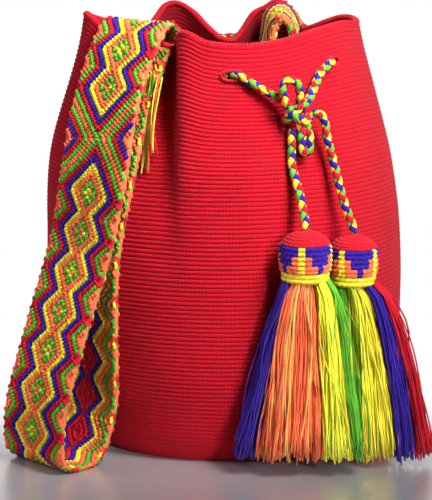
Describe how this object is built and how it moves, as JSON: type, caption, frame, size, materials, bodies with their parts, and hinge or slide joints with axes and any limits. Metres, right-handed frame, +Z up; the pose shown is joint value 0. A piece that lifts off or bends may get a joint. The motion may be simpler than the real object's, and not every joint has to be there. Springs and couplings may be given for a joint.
{
  "type": "wayuu mochila bag",
  "caption": "Tall crocheted bucket bag with a gathered mouth, a wide woven shoulder strap, and a braided drawstring that ends in two thread tassels.",
  "frame": {"origin": "centre of the bag's base on the surface it stands on", "axes": "+Z up through the mouth, -Y towards the front with the tassels, +X to the viewer's right"},
  "size_m": [0.2977, 0.2852, 0.3054],
  "materials": {
    "crochet_red": "crocheted crimson cotton, ribbed rows",
    "strap_weave": "knotted multicolour diamond band",
    "lashing_thread": "heavy sewing thread",
    "strap_fringe": "loose strap threads",
    "cord_braid": "round braid of green, yellow, blue and red strands",
    "cap_crochet": "crocheted cap with a red crown and stepped motifs",
    "thread_blue": "loose cotton thread",
    "thread_orange": "loose cotton thread",
    "thread_yellow": "loose cotton thread",
    "thread_lemon": "loose cotton thread",
    "thread_green": "loose cotton thread",
    "thread_red": "loose cotton thread"
  },
  "bodies": {
    "bag": {"bag_body": "crochet_red", "shoulder_strap": "strap_weave", "strap_lashing_front": "lashing_thread", "strap_lashing_rear": "lashing_thread", "strap_fringe_front": "strap_fringe", "strap_fringe_rear": "strap_fringe", "drawstring": "cord_braid", "drawstring_knot": "cord_braid"},
    "tail_left": {"drawstring_tail_left": "cord_braid"},
    "tail_right": {"drawstring_tail_right": "cord_braid"},
    "tassel_left": {"tassel_left_cap": "cap_crochet", "tassel_left_threads_blue": "thread_blue", "tassel_left_threads_orange": "thread_orange", "tassel_left_threads_yellow": "thread_lemon", "tassel_left_threads_green": "thread_green"},
    "tassel_right": {"tassel_right_cap": "cap_crochet", "tassel_right_threads_green": "thread_green", "tassel_right_threads_yellow": "thread_yellow", "tassel_right_threads_blue": "thread_blue", "tassel_right_threads_red": "thread_red", "tassel_right_threads_orange": "thread_orange"}
  },
  "joints": [
    {"name": "tail_left_swing", "type": "hinge", "parent": "bag", "child": "tail_left", "pos_m": [0.0447, -0.1165, 0.2338], "axis": [0.3579, -0.9338, 0], "range_deg": [-25, 0]},
    {"name": "tail_right_swing", "type": "hinge", "parent": "bag", "child": "tail_right", "pos_m": [0.059, -0.1165, 0.2452], "axis": [0.452, -0.892, 0], "range_deg": [0, 25]},
    {"name": "tassel_left_lift", "type": "hinge", "parent": "tail_left", "child": "tassel_left", "pos_m": [0.0535, -0.1375, 0.1721], "axis": [-0.9848, -0.174, 0], "range_deg": [0, 55]},
    {"name": "tassel_right_lift", "type": "hinge", "parent": "tail_right", "child": "tassel_right", "pos_m": [0.0868, -0.1194, 0.1662], "axis": [-0.5, -0.866, 0], "range_deg": [0, 55]}
  ]
}
